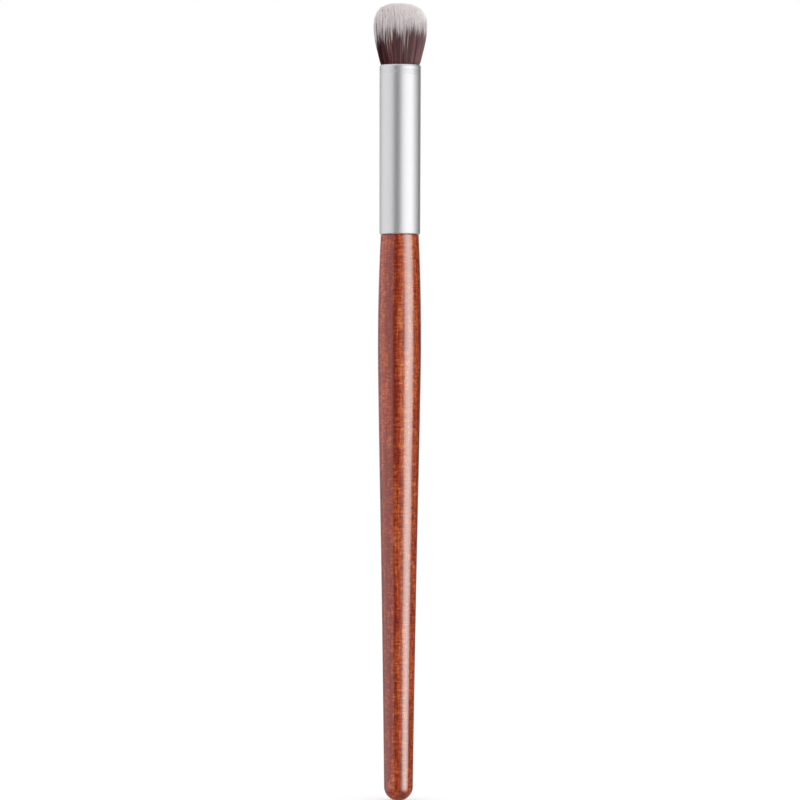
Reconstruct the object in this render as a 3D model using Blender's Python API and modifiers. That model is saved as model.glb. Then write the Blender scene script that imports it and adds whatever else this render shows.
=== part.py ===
"""Concealer brush: a turned wooden handle, a drawn aluminium ferrule and a domed tuft of two-tone bristles.

Lengths are metres. +Z runs from the rounded butt of the handle up to the top of the tuft, and the origin is the
middle of the small flat that the butt ends in. Run it with: blender --background --python part.py
"""

import math

import bmesh
import bpy
from mathutils import Matrix, Vector

# Handle: one turned piece of wood, with a tenon that goes up into the ferrule
HANDLE_LENGTH = 0.1170
BUTT_FLAT_RADIUS = 0.0008
BUTT_RADIUS = 0.0030
WAIST_HEIGHT = 0.0440
WAIST_RADIUS = 0.00361
SWELL_HEIGHT = 0.0860
SWELL_RADIUS = 0.00440
BELLY_HEIGHT = 0.0945
BELLY_RADIUS = 0.004485
NECK_RADIUS = 0.00395
NECK_EDGE_ROUND = 0.0001
# Slopes of the handle's outline, in radius gained per unit of height
BUTT_SLOPE = 0.0135
WAIST_SLOPE = 0.0170
SWELL_SLOPE = 0.0160
NECK_SLOPE = -0.050

# Tenon: it reaches up to just below the resin, and its two turned grooves are what the glue keys into
TENON_TIP_GAP = 0.0010
TENON_CHAMFER = 0.0005
GROOVE_DEPTH = 0.00025
GROOVE_WIDTH = 0.0012
# Where the grooves lie, up the tenon
GROOVE_SHARES = (0.28, 0.64)

# Ferrule: a thin drawn tube, a little wider at its mouth, with both of its outer edges rounded over
FERRULE_LENGTH = 0.0350
FERRULE_FOOT_RADIUS = 0.00422
FERRULE_MOUTH_RADIUS = 0.00428
FERRULE_WALL = 0.00030
MOUTH_ROUND_WIDTH = 0.00020
MOUTH_ROUND_HEIGHT = 0.00060
FOOT_ROUND_WIDTH = 0.00014
FOOT_ROUND_HEIGHT = 0.00035
BORE_EDGE_ROUND = 0.00006

# Glue film round the tenon, and the cast resin that holds the bristle roots
GLUE_FILM = 0.00012
GLUE_MARGIN = 0.0010
RESIN_DEPTH = 0.0100
RESIN_HEIGHT = 0.0050
ROOT_SLICE_HEIGHT = 0.0010
# How far each strand's root reaches down into the slice of resin that it is fused to
ROOT_OVERRUN = 0.0004

# Tuft: heights are above the ferrule's mouth, and radii are those of its outline
TUFT_HEIGHT = 0.0129
TUFT_MOUTH_RADIUS = 0.00392
TUFT_FLARE_HEIGHT = 0.0049
TUFT_FLARE_RADIUS = 0.00518
TUFT_BELLY_HEIGHT = 0.0082
TUFT_BELLY_RADIUS = 0.0056
TIP_SCATTER = 0.0004
# The dome is a superellipse, squarer than a ball's 2
DOME_POWER = 2.2
# Where a strand starts to narrow, on its way from the belly's height to its tip
CROWN_SHARE = 0.55
# How far from the axis the outermost tips stand, against the belly
TIP_SPREAD_SHARE = 0.93
# A strand's radius against the tuft's, at every height
STRAND_SHARE = 0.040
STRAND_COUNT = 320
STRAND_SIDES = 3
# Each strand stands this share of a turn on from the one before, as seeds do in a sunflower
GOLDEN_SHARE = 0.381966

# Clearance between pieces that are glued or pressed together, and between the neck and the ferrule's foot
FIT_GAP = 0.00005
SEAT_GAP = 0.00010

# Facets of the turned pieces, and steps of their outlines
TURN_STEPS = 36
OUTLINE_STEPS = 5
BUTT_STEPS = 6
EDGE_STEPS = 4
MERGE_DISTANCE = 0.000001
SHARP_ANGLE = math.radians(35)

# Places that several pieces share
FOOT_HEIGHT = HANDLE_LENGTH + SEAT_GAP
MOUTH_HEIGHT = FOOT_HEIGHT + FERRULE_LENGTH
SLICE_TOP = MOUTH_HEIGHT - RESIN_DEPTH
SLICE_FOOT = SLICE_TOP - ROOT_SLICE_HEIGHT
RESIN_TOP = SLICE_FOOT - FIT_GAP
RESIN_FOOT = RESIN_TOP - RESIN_HEIGHT
TENON_TOP = RESIN_FOOT - TENON_TIP_GAP

MATERIALS = {
    # name: colour, roughness, metallic
    "lacquered_wood": ((0.320, 0.072, 0.022), 0.25, 0.0),
    "satin_aluminium": ((0.700, 0.700, 0.705), 0.32, 1.0),
    "brown_bristle": ((0.070, 0.028, 0.026), 0.55, 0.0),
    "pale_bristle": ((0.620, 0.560, 0.550), 0.60, 0.0),
    "clear_glue": ((0.620, 0.560, 0.400), 0.30, 0.0),
    "cast_resin": ((0.300, 0.180, 0.080), 0.35, 0.0),
}


def clear_scene():
    for obj in list(bpy.data.objects):
        bpy.data.objects.remove(obj)


def new_collection(name):
    collection = bpy.data.collections.new(name)
    bpy.context.scene.collection.children.link(collection)
    return collection


def material_of(name):
    """The named material, made when it is first asked for."""
    found = bpy.data.materials.get(name)
    if found:
        return found
    colour, roughness, metallic = MATERIALS[name]
    made = bpy.data.materials.new(name)
    made.use_nodes = True
    made.diffuse_color = (*colour, 1)
    shader = made.node_tree.nodes["Principled BSDF"]
    shader.inputs["Base Color"].default_value = (*colour, 1)
    shader.inputs["Roughness"].default_value = roughness
    shader.inputs["Metallic"].default_value = metallic
    return made


def smooth_step(start, end, start_slope, end_slope):
    """Points of a cubic from one (radius, height) to the next, leaving the last one out."""
    rise = end[1] - start[1]
    points = []
    for step in range(OUTLINE_STEPS):
        t = step / OUTLINE_STEPS
        start_part = 2 * t**3 - 3 * t**2 + 1
        lean = (t**3 - 2 * t**2 + t) * start_slope + (t**3 - t**2) * end_slope
        radius = start_part * start[0] + (1 - start_part) * end[0] + lean * rise
        points.append((radius, start[1] + t * rise))
    return points


def rounded(corner, width, height, towards_axis_first):
    """A quarter of an ellipse in place of a corner at (radius, height).

    Width is how far it reaches towards the axis, and height how far it reaches along the side, negative for down.
    It starts on the face across the axis, or ends there when towards_axis_first is False.
    """
    centre = (corner[0] - width, corner[1] + height)
    turns = [math.pi / 2 * step / EDGE_STEPS for step in range(EDGE_STEPS + 1)]
    points = [(centre[0] + width * math.sin(a), centre[1] - height * math.cos(a)) for a in turns]
    return points if towards_axis_first else points[::-1]


def turned(name, outline, material, collection, ring=False):
    """Turns an outline of (radius, height) points, which runs down the outer side, about +Z.

    A ring's outline is a closed loop. Any other starts and ends on the axis.
    """
    count = len(outline)
    profile = bpy.data.meshes.new(name)
    edges = [(i, (i + 1) % count) for i in range(count if ring else count - 1)]
    profile.from_pydata([(radius, 0, height) for radius, height in outline], edges, [])
    obj = bpy.data.objects.new(name, profile)
    collection.objects.link(obj)
    screw = obj.modifiers.new("Turn", "SCREW")
    screw.axis = "Z"
    screw.steps = screw.render_steps = TURN_STEPS
    screw.use_merge_vertices = True
    screw.merge_threshold = MERGE_DISTANCE
    apply_modifiers(obj)
    obj.data.materials.append(material_of(material))
    return obj


def apply_modifiers(obj):
    """Puts the evaluated mesh in place of the object's modifiers, shaded smooth apart from its sharp edges."""
    bpy.context.view_layer.update()
    graph = bpy.context.evaluated_depsgraph_get()
    mesh = bpy.data.meshes.new_from_object(obj.evaluated_get(graph))
    obj.modifiers.clear()
    obj.data = mesh
    mesh.name = obj.name
    mesh.shade_smooth()
    mesh.set_sharp_from_angle(angle=SHARP_ANGLE)


def bore_radius(height):
    """The ferrule's inner radius at a height: its taper, less its wall."""
    up = (height - FOOT_HEIGHT) / FERRULE_LENGTH
    return FERRULE_FOOT_RADIUS + up * (FERRULE_MOUTH_RADIUS - FERRULE_FOOT_RADIUS) - FERRULE_WALL


def tenon_radius():
    """The tenon leaves room for the glue film and a gap on each side of it."""
    return bore_radius(FOOT_HEIGHT) - GLUE_FILM - 2 * FIT_GAP


def groove_stations():
    """(low, high) heights of each glue groove, the lowest first."""
    middles = [HANDLE_LENGTH + share * (TENON_TOP - HANDLE_LENGTH) for share in GROOVE_SHARES]
    return [(middle - GROOVE_WIDTH / 2, middle + GROOVE_WIDTH / 2) for middle in middles]


def handle_outline():
    radius = tenon_radius()
    outline = [(0, TENON_TOP), (radius - TENON_CHAMFER, TENON_TOP), (radius, TENON_TOP - TENON_CHAMFER)]
    for low, high in reversed(groove_stations()):
        floor = radius - GROOVE_DEPTH
        outline += [(radius, high), (floor, high), (floor, low), (radius, low)]
    outline.append((radius, HANDLE_LENGTH))
    outline += rounded((NECK_RADIUS, HANDLE_LENGTH), NECK_EDGE_ROUND, -NECK_EDGE_ROUND, True)

    round_height = math.sqrt(BUTT_RADIUS**2 - BUTT_FLAT_RADIUS**2)
    butt = (BUTT_RADIUS, round_height)
    waist = (WAIST_RADIUS, WAIST_HEIGHT)
    swell = (SWELL_RADIUS, SWELL_HEIGHT)
    belly = (BELLY_RADIUS, BELLY_HEIGHT)
    neck = (NECK_RADIUS, HANDLE_LENGTH - NECK_EDGE_ROUND)
    side = smooth_step(butt, waist, BUTT_SLOPE, WAIST_SLOPE)
    side += smooth_step(waist, swell, WAIST_SLOPE, SWELL_SLOPE)
    side += smooth_step(swell, belly, SWELL_SLOPE, 0)
    side += smooth_step(belly, neck, 0, NECK_SLOPE)
    outline += side[::-1]

    flat_angle = math.asin(BUTT_FLAT_RADIUS / BUTT_RADIUS)
    for step in range(1, BUTT_STEPS + 1):
        angle = math.pi / 2 + (flat_angle - math.pi / 2) * step / BUTT_STEPS
        outline.append((BUTT_RADIUS * math.sin(angle), round_height - BUTT_RADIUS * math.cos(angle)))
    outline[-1] = (BUTT_FLAT_RADIUS, 0)
    outline.append((0, 0))
    return outline


def ferrule_outline():
    """The tube's wall: over the mouth's round edge, down the outside, round the foot and up the bore."""
    mouth_bore = bore_radius(MOUTH_HEIGHT)
    foot_bore = bore_radius(FOOT_HEIGHT)
    outline = rounded((FERRULE_MOUTH_RADIUS, MOUTH_HEIGHT), MOUTH_ROUND_WIDTH, -MOUTH_ROUND_HEIGHT, True)
    outline += rounded((FERRULE_FOOT_RADIUS, FOOT_HEIGHT), FOOT_ROUND_WIDTH, FOOT_ROUND_HEIGHT, False)
    outline += [
        (foot_bore + BORE_EDGE_ROUND, FOOT_HEIGHT),
        (foot_bore, FOOT_HEIGHT + BORE_EDGE_ROUND),
        (mouth_bore, MOUTH_HEIGHT - BORE_EDGE_ROUND),
        (mouth_bore + BORE_EDGE_ROUND, MOUTH_HEIGHT),
    ]
    return outline


def glue_outline():
    """A sleeve between the tenon and the bore, with a rib in each of the tenon's grooves."""
    low = HANDLE_LENGTH + GLUE_MARGIN
    high = TENON_TOP - GLUE_MARGIN
    inner = tenon_radius() + FIT_GAP
    outline = [(inner, high), (inner + GLUE_FILM, high), (inner + GLUE_FILM, low), (inner, low)]
    rib = inner - GROOVE_DEPTH
    for groove_low, groove_high in groove_stations():
        rib_low = groove_low + FIT_GAP
        rib_high = groove_high - FIT_GAP
        outline += [(inner, rib_low), (rib, rib_low), (rib, rib_high), (inner, rib_high)]
    return outline


def disc_outline(radius, low, high):
    return [(0, high), (radius, high), (radius, low), (0, low)]


def dome_height(radius):
    """Height of the tuft's dome over the ferrule's mouth, at a distance from the axis."""
    out = min(radius / TUFT_BELLY_RADIUS, 1)
    return TUFT_BELLY_HEIGHT + (TUFT_HEIGHT - TUFT_BELLY_HEIGHT) * (1 - out**DOME_POWER) ** (1 / DOME_POWER)


def strand_stations(number):
    """(height, distance from the axis, thickness) up one strand, and its tip's distance and height.

    Every strand keeps its share of the outline's radius, so that strands spread with the outline and never cross.
    """
    out_share = math.sqrt((number + 0.5) / STRAND_COUNT)
    stations = []

    def add(height, outline_radius):
        thickness = STRAND_SHARE * outline_radius
        stations.append((height, out_share * (outline_radius - thickness), thickness))

    tip_out = out_share * TIP_SPREAD_SHARE * TUFT_BELLY_RADIUS
    tip_height = dome_height(tip_out) - TIP_SCATTER * (number * GOLDEN_SHARE % 1)
    crown_height = TUFT_BELLY_HEIGHT + CROWN_SHARE * (tip_height - TUFT_BELLY_HEIGHT)
    add(SLICE_TOP - ROOT_OVERRUN, TUFT_MOUTH_RADIUS)
    add(MOUTH_HEIGHT, TUFT_MOUTH_RADIUS)
    add(MOUTH_HEIGHT + TUFT_FLARE_HEIGHT, TUFT_FLARE_RADIUS)
    add(MOUTH_HEIGHT + crown_height, TUFT_BELLY_RADIUS)
    return stations, (tip_out, MOUTH_HEIGHT + tip_height)


def grow_strand(bm, azimuth, stations, tip):
    """A closed three-sided strand: a prism from its root to the mouth, extruded on and drawn out to a point."""
    outward = Vector((math.cos(azimuth), math.sin(azimuth), 0))
    up = Vector((0, 0, 1))
    (root, out, thickness), (mouth, _, _) = stations[:2]
    middle = outward * out + up * (root + mouth) / 2
    made = bmesh.ops.create_cone(
        bm,
        cap_ends=True,
        segments=STRAND_SIDES,
        radius1=thickness,
        radius2=thickness,
        depth=mouth - root,
        matrix=Matrix.Translation(middle) @ Matrix.Rotation(azimuth, 4, "Z"),
    )
    faces = {face for vert in made["verts"] for face in vert.link_faces}
    top = max(faces, key=lambda face: face.calc_center_median().z)
    for height, next_out, next_thickness in stations[2:]:
        top = bmesh.ops.extrude_discrete_faces(bm, faces=[top])["faces"][0]
        old_centre = top.calc_center_median()
        new_centre = outward * next_out + up * height
        for vert in top.verts:
            vert.co = new_centre + (vert.co - old_centre) * next_thickness / thickness
        thickness = next_thickness
    peak = bmesh.ops.poke(bm, faces=[top])["verts"][0]
    peak.co = outward * tip[0] + up * tip[1]


def bristle_strands(name, collection):
    """Strands in a spiral about the axis, pale above the flare and brown below it."""
    bm = bmesh.new()
    for number in range(STRAND_COUNT):
        grow_strand(bm, 2 * math.pi * GOLDEN_SHARE * number, *strand_stations(number))
    for face in bm.faces:
        pale = face.calc_center_median().z > MOUTH_HEIGHT + TUFT_FLARE_HEIGHT
        face.material_index = 1 if pale else 0
    mesh = bpy.data.meshes.new(name)
    bm.to_mesh(mesh)
    bm.free()
    mesh.materials.append(material_of("brown_bristle"))
    mesh.materials.append(material_of("pale_bristle"))
    obj = bpy.data.objects.new(name, mesh)
    collection.objects.link(obj)
    return obj


def build_tuft(collection, helpers):
    """The strands, fused to the top slice of the resin that their roots are cast in."""
    tuft = bristle_strands("bristle_tuft", collection)
    radius = bore_radius(SLICE_FOOT) - FIT_GAP
    root_slice = turned("root_slice", disc_outline(radius, SLICE_FOOT, SLICE_TOP), "brown_bristle", helpers)
    root_slice.hide_render = True
    root_slice.display_type = "WIRE"
    fuse = tuft.modifiers.new("Fuse", "BOOLEAN")
    fuse.operation = "UNION"
    fuse.object = root_slice
    return tuft


def build_resin_plug(collection):
    radius = bore_radius(RESIN_FOOT) - FIT_GAP
    return turned("resin_plug", disc_outline(radius, RESIN_FOOT, RESIN_TOP), "cast_resin", collection)


def main():
    clear_scene()
    brush = new_collection("concealer_brush")
    helpers = new_collection("cutters")
    turned("handle", handle_outline(), "lacquered_wood", brush)
    turned("ferrule", ferrule_outline(), "satin_aluminium", brush, ring=True)
    turned("tenon_glue", glue_outline(), "clear_glue", brush, ring=True)
    build_resin_plug(brush)
    build_tuft(brush, helpers)


main()
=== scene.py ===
"""The looks of a concealer brush: lacquered wood, satin aluminium and a dense tuft with pale tips.

Lengths are metres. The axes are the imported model's: +Z up the brush, and the camera looks along +Y.
"""

import math

import bmesh
import bpy
from bpy.props import FloatProperty, FloatVectorProperty, IntProperty
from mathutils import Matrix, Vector


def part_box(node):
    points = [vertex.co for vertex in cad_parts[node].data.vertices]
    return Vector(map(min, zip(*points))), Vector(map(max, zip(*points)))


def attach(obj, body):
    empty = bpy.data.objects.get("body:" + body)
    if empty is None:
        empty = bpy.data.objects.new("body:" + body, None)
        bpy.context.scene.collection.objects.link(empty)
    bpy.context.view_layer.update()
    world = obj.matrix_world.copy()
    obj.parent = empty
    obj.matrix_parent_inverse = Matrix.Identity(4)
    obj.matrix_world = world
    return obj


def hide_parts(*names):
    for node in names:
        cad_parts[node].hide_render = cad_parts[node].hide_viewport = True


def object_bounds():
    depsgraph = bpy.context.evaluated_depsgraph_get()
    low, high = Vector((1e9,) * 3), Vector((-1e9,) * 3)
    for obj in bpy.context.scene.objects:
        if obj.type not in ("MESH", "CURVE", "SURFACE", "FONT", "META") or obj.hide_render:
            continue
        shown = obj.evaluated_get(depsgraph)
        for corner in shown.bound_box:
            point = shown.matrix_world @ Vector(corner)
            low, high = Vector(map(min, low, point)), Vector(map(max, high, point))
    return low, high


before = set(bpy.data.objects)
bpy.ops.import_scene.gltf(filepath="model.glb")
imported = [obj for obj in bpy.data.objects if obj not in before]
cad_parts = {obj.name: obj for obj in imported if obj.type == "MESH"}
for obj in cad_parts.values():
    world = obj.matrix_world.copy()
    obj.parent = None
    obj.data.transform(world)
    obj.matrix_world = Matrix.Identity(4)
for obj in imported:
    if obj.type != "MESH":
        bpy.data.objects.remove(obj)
CAD_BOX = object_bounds()

bl_info = {
    "name": "Concealer brush",
    "version": (1, 0, 0),
    "blender": (4, 5, 0),
    "location": "View3D > Sidebar > Brush",
    "description": "Dresses the packed concealer brush in wood, metal and bristles",
    "category": "Object",
}

BODY = "root"
HANDLE = "turned_handle"
MM_PER_METRE = 1000.0
MATH = "ShaderNodeMath"

# Two CAD points closer than this are one
SAME_POINT = 0.000002
# A CAD outline that turns by less than this at a point is a curve there, and otherwise a corner
CORNER_ANGLE = math.radians(32)
# A step of the outline this many times longer than the one beside it is a straight run
STRAIGHT_RATIO = 4
STRAIGHT_ANGLE = math.radians(0.2)
# Narrow band at each end of a straight run, so that the rounding beside it doesn't shade into it
END_BAND = 0.0001
# A straight run has no bands if each would take more than this share of it
LARGEST_BAND = 0.3
# Facets round a turned piece
TURN_STEPS = 160
# Rough length of the steps that a stretch between two CAD points is cut into, and their number
OUTLINE_STEP = 0.0007
FEWEST_OUTLINE_STEPS = 3
MOST_OUTLINE_STEPS = 8

# Sizes of the wood's patterns along X, Y and Z, in millimetres
BEND_SIZE = (6, 6, 30)
STREAK_SIZE = (0.5, 0.5, 15)
MOTTLE_SIZE = (1.6, 1.6, 3.5)
FLECK_SIZE = (0.3, 0.3, 0.55)
LACQUER_WAVE_SIZE = (4, 4, 1.1)
# Length of a bar of the ripple across the grain, in millimetres
RIPPLE_LENGTH = 1.2
# How far the grain bends, and how far the stick lies from the tree's heart, in millimetres
BEND = (2.0, 2.0, 0.0)
FROM_HEART = (17.0, 11.0, 0.0)
# A wave texture of scale 1 repeats after this length
WAVE_LENGTH = 0.314
# A fibre's mark is this many times as wide as a pore, and a pore this many times as long as the mark
MARK_WIDTH = 1.6
PORE_STRETCH = 1.3
# The stain's tone is the sum of its patterns and this
TONE_START = -1.090
# Glints and pores: their pattern's value where they start to show, where they show most, and how much
GLINTS = (0.34, 0.48, 0.4)
PORES = (0.60, 0.72, 0.7)
# Depth of the waves in the lacquer, in metres, and how much of the wood's relief shows through it
WAVE_DEPTH = 0.000006
SHOW_THROUGH = 0.3
# Turning lines: length in millimetres, depth in metres, and how much they change the roughness
LINE_LENGTH = 20
LINE_DEPTH = 0.000001
LINE_ROUGHNESS = 0.02
# Size of the clouds in set adhesive, in millimetres, and lightness of thin places against the rest
CLOUD_SIZES = (1.25, 1.25, 1.25)
THIN_PLACES = 0.7


def linear(hex_colour):
    """The linear RGB numbers of an sRGB hex colour."""
    shares = [int(hex_colour[i:i + 2], 16) / 255 for i in (1, 3, 5)]
    return [c / 12.92 if c <= 0.04045 else ((c + 0.055) / 1.055) ** 2.4 for c in shares]


def add(tree, kind, inputs=None, **settings):
    """Adds a node with its settings and its inputs."""
    node = tree.nodes.new(kind)
    for name, value in settings.items():
        setattr(node, name, value)
    fill(node, inputs or {})
    return node


def fill(node, inputs):
    """Gives each of a node's inputs its value, or a link from another node or one of its outputs."""
    for name, value in inputs.items():
        if isinstance(value, bpy.types.Node):
            value = value.outputs[0]
        if isinstance(value, bpy.types.NodeSocket):
            node.id_data.links.new(value, node.inputs[name])
        else:
            node.inputs[name].default_value = value


def set_stops(ramp_node, stops):
    """Gives a colour ramp its (position, colour) stops."""
    elements = ramp_node.color_ramp.elements
    while len(elements) < len(stops):
        elements.new(1)
    for element, (position, colour) in zip(elements, stops):
        element.position = position
        element.color = (*colour, 1)


def set_curve(curve_node, points):
    """Gives a float curve its (x, y) points, both from 0 to 1."""
    curve = curve_node.mapping.curves[0]
    while len(curve.points) < len(points):
        curve.points.new(0.5, 0.5)
    for point, location in zip(curve.points, points):
        point.location = location
    curve_node.mapping.update()


class WoodSettings(bpy.types.PropertyGroup):
    """Stained and lacquered hardwood."""

    dark: FloatVectorProperty(
        name="Late wood", description="Darkest stain, in the pores and the late wood",
        subtype="COLOR", default=linear("#7C1C04"))
    middle: FloatVectorProperty(
        name="Body", description="Main colour of the stained wood",
        subtype="COLOR", default=linear("#A73B0C"))
    light: FloatVectorProperty(
        name="Early wood", description="Orange of the early wood",
        subtype="COLOR", default=linear("#BF5520"))
    amber: FloatVectorProperty(
        name="Figure", description="Amber glints of the figure", subtype="COLOR", default=linear("#CF8244"))
    ring_width: FloatProperty(
        name="Ring width", description="Width of one year's growth", unit="LENGTH", default=0.0033)
    pore_width: FloatProperty(
        name="Pore width", description="Width of the fine pores along the grain",
        unit="LENGTH", default=0.00016)
    pore_length: FloatProperty(
        name="Pore length", description="Length of the fine pores", unit="LENGTH", default=0.0014)
    ripple_width: FloatProperty(
        name="Ripple width", description="Spacing of the ripple across the grain",
        unit="LENGTH", default=0.00040)
    lacquer_roughness: FloatProperty(
        name="Lacquer roughness", description="Roughness of the gloss lacquer",
        subtype="FACTOR", default=0.20)


class MetalSettings(bpy.types.PropertyGroup):
    """Satin anodised aluminium."""

    colour: FloatVectorProperty(
        name="Aluminium", description="Colour of the anodised metal",
        subtype="COLOR", default=linear("#DADADC"))
    roughness: FloatProperty(
        name="Satin roughness", description="Roughness that etching leaves", subtype="FACTOR", default=0.43)
    line_width: FloatProperty(
        name="Turning lines", description="Spacing of the fine lines round the tube",
        unit="LENGTH", default=0.00025)
    groove_count: IntProperty(
        name="Lip grooves", description="Fine grooves turned below the lip", default=3, min=0)
    groove_pitch: FloatProperty(
        name="Groove pitch", description="Distance from one groove to the next",
        unit="LENGTH", default=0.00038)
    groove_depth: FloatProperty(
        name="Groove depth", description="Depth of each groove", unit="LENGTH", default=0.000030)
    groove_width: FloatProperty(
        name="Groove width", description="Width of each groove", unit="LENGTH", default=0.00018)


class BristleSettings(bpy.types.PropertyGroup):
    """Tapered synthetic fibres, dyed brown and left pale at their tips."""

    count: IntProperty(
        name="Fibres", description="Fibres in the whole tuft", default=9000, min=3)
    fibre_radius: FloatProperty(
        name="Fibre radius", description="Radius of a fibre before it tapers",
        unit="LENGTH", default=0.000044)
    belly_height: FloatProperty(
        name="Belly height", description="Height of the widest place over the ferrule",
        unit="LENGTH", default=0.0080)
    clump_size: FloatProperty(
        name="Clump size", description="Width of the clumps that the tips gather in",
        unit="LENGTH", default=0.00075)
    clump_pull: FloatProperty(
        name="Clump pull", description="How far the tips lean to their clump",
        subtype="FACTOR", default=0.25)
    stray: FloatProperty(
        name="Stray", description="How far single tips stray, against the tuft's radius",
        subtype="FACTOR", default=0.030)
    tip_scatter: FloatProperty(
        name="Tip scatter", description="How unevenly long the fibres are", unit="LENGTH", default=0.0006)
    dye_height: FloatProperty(
        name="Dye height", description="Height over the ferrule at which the dye ends",
        unit="LENGTH", default=0.0060)
    dye_scatter: FloatProperty(
        name="Dye scatter", description="How unevenly the dye ends", unit="LENGTH", default=0.0023)
    dye_spikes: FloatProperty(
        name="Dye spikes", description="How far the dye reaches up single fibres",
        unit="LENGTH", default=0.0036)
    dome_lean: FloatProperty(
        name="Dome lean", description="How much lower the dome is at +X than on the axis",
        unit="LENGTH", default=0.00020)
    tip_drift: FloatProperty(
        name="Tip drift", description="How far the tips lean towards +X", unit="LENGTH", default=0.00012)
    dye_tilt: FloatProperty(
        name="Dye tilt", description="How much higher the dye ends at +X than on the axis",
        unit="LENGTH", default=0.0011)
    dye_droop: FloatProperty(
        name="Dye droop", description="How much lower the dye ends at both sides",
        unit="LENGTH", default=0.0009)
    dye_blend: FloatProperty(
        name="Dye blend", description="Length over which the dye fades out", unit="LENGTH", default=0.0011)
    dark: FloatVectorProperty(
        name="Dark brown", description="Darkest dyed fibres", subtype="COLOR", default=linear("#24050B"))
    brown: FloatVectorProperty(
        name="Light brown", description="Lightest dyed fibres", subtype="COLOR", default=linear("#B56C6C"))
    grey: FloatVectorProperty(
        name="Grey tip", description="Darkest tips", subtype="COLOR", default=linear("#F9F2F2"))
    white: FloatVectorProperty(
        name="White tip", description="Lightest tips", subtype="COLOR", default=linear("#FFFCFA"))


class StageSettings(bpy.types.PropertyGroup):
    """Camera, lamps and room."""

    camera_distance: FloatProperty(
        name="Camera distance", description="From the camera to the brush's axis",
        unit="LENGTH", default=0.95)
    view_height: FloatProperty(
        name="View height", description="Height that the picture spans at the brush",
        unit="LENGTH", default=0.16552)
    key_gloss: FloatProperty(
        name="Key in lacquer", description="Radiance of the softbox as the lacquer mirrors it", default=10.1)
    key_netted: FloatProperty(
        name="Netted key", description="Radiance of the softbox as metal and fibres mirror it", default=0.72)
    fill_gloss: FloatProperty(
        name="Fill in lacquer", description="Radiance that the left screen adds in lacquer", default=0.35)
    key_diffuse: FloatProperty(
        name="Key on matt", description="Radiance of the softbox for matt surfaces", default=0.98)
    key_on_tuft: FloatProperty(
        name="Key on the tuft", description="Radiance of the softbox for the fibres' matt share",
        default=0.30)
    ambient: FloatProperty(
        name="Ambient", description="Radiance of the white room on matt surfaces", default=1.0)


def cad_outline(node):
    """The outline that a CAD node was turned from: its (radius, height) points, in order."""
    bm = bmesh.new()
    bm.from_mesh(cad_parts[node].data)
    bmesh.ops.remove_doubles(bm, verts=bm.verts, dist=SAME_POINT)
    edge_on = {vert for vert in bm.verts if abs(vert.co.y) < SAME_POINT and vert.co.x > -SAME_POINT}
    here = min(edge_on, key=lambda vert: (round(vert.co.z, 6), vert.co.x))
    outline = []
    while here:
        outline.append((max(here.co.x, 0), here.co.z))
        edge_on.remove(here)
        onward = [edge.other_vert(here) for edge in here.link_edges]
        here = min((vert for vert in onward if vert in edge_on), key=lambda vert: vert.co.z, default=None)
    bm.free()
    return outline


def fine_outline(outline, ring):
    """A finer line through the points, curved where they bend gently, and with a corner where they don't."""
    points = [Vector(point) for point in outline]
    count = len(points)
    spans = range(count if ring else count - 1)
    fine = []
    for i in spans:
        start, end = points[i], points[(i + 1) % count]
        along = end - start
        before = start - points[i - 1] if ring or i else along
        after = points[(i + 2) % count] - end if ring or i + 2 < count else along
        leave = along if before.angle(along) > CORNER_ANGLE else even_direction(before, along)
        arrive = along if along.angle(after) > CORNER_ANGLE else even_direction(along, after)
        leave, arrive = leave.normalized() * along.length, arrive.normalized() * along.length
        steps = math.ceil(along.length / OUTLINE_STEP)
        steps = min(max(steps, FEWEST_OUTLINE_STEPS), MOST_OUTLINE_STEPS)
        stations = [step / steps for step in range(steps)]
        if leave.angle(along) < STRAIGHT_ANGLE and arrive.angle(along) < STRAIGHT_ANGLE:
            edge = END_BAND / along.length
            stations = [0, edge, 1 - edge] if edge < LARGEST_BAND else [0]
        for t in stations:
            fine.append(
                start * (2 * t**3 - 3 * t**2 + 1) + leave * (t**3 - 2 * t**2 + t)
                + end * (3 * t**2 - 2 * t**3) + arrive * (t**3 - t**2)
            )
    if not ring:
        fine.append(points[-1])
    return [(max(point.x, 0), point.y) for point in fine]


def even_direction(before, after):
    """The direction at a point between two steps: mostly the shorter one's, or a straight run's own."""
    longer, shorter = sorted((before, after), key=lambda step: step.length, reverse=True)
    if longer.length > STRAIGHT_RATIO * shorter.length:
        return longer
    return before / before.length_squared + after / after.length_squared


def new_object(name, data):
    """An object of the scene, made from a mesh, a lamp or a camera."""
    obj = bpy.data.objects.new(name, data)
    bpy.context.scene.collection.objects.link(obj)
    return obj


def turned(name, outline, material, ring=False):
    """Turns (radius, height) points about +Z. A ring's outline is a closed loop."""
    count = len(outline)
    edges = [(i, (i + 1) % count) for i in range(count if ring else count - 1)]
    mesh = bpy.data.meshes.new(name)
    mesh.from_pydata([(radius, 0, height) for radius, height in outline], edges, [])
    obj = new_object(name, mesh)
    screw = obj.modifiers.new("Turn", "SCREW")
    screw.axis = "Z"
    screw.steps = screw.render_steps = TURN_STEPS
    screw.use_merge_vertices = True
    screw.merge_threshold = SAME_POINT / 2
    apply_modifiers(obj)
    bm = bmesh.new()
    bm.from_mesh(obj.data)
    bmesh.ops.recalc_face_normals(bm, faces=bm.faces)
    bm.to_mesh(obj.data)
    bm.free()
    obj.data.shade_smooth()
    obj.data.set_sharp_from_angle(angle=CORNER_ANGLE)
    obj.data.materials.append(material)
    return obj


def apply_modifiers(obj):
    """Puts the evaluated mesh in place of the object's modifiers."""
    bpy.context.view_layer.update()
    graph = bpy.context.evaluated_depsgraph_get()
    mesh = bpy.data.meshes.new_from_object(obj.evaluated_get(graph))
    obj.modifiers.clear()
    obj.data = mesh
    mesh.name = obj.name


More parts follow.
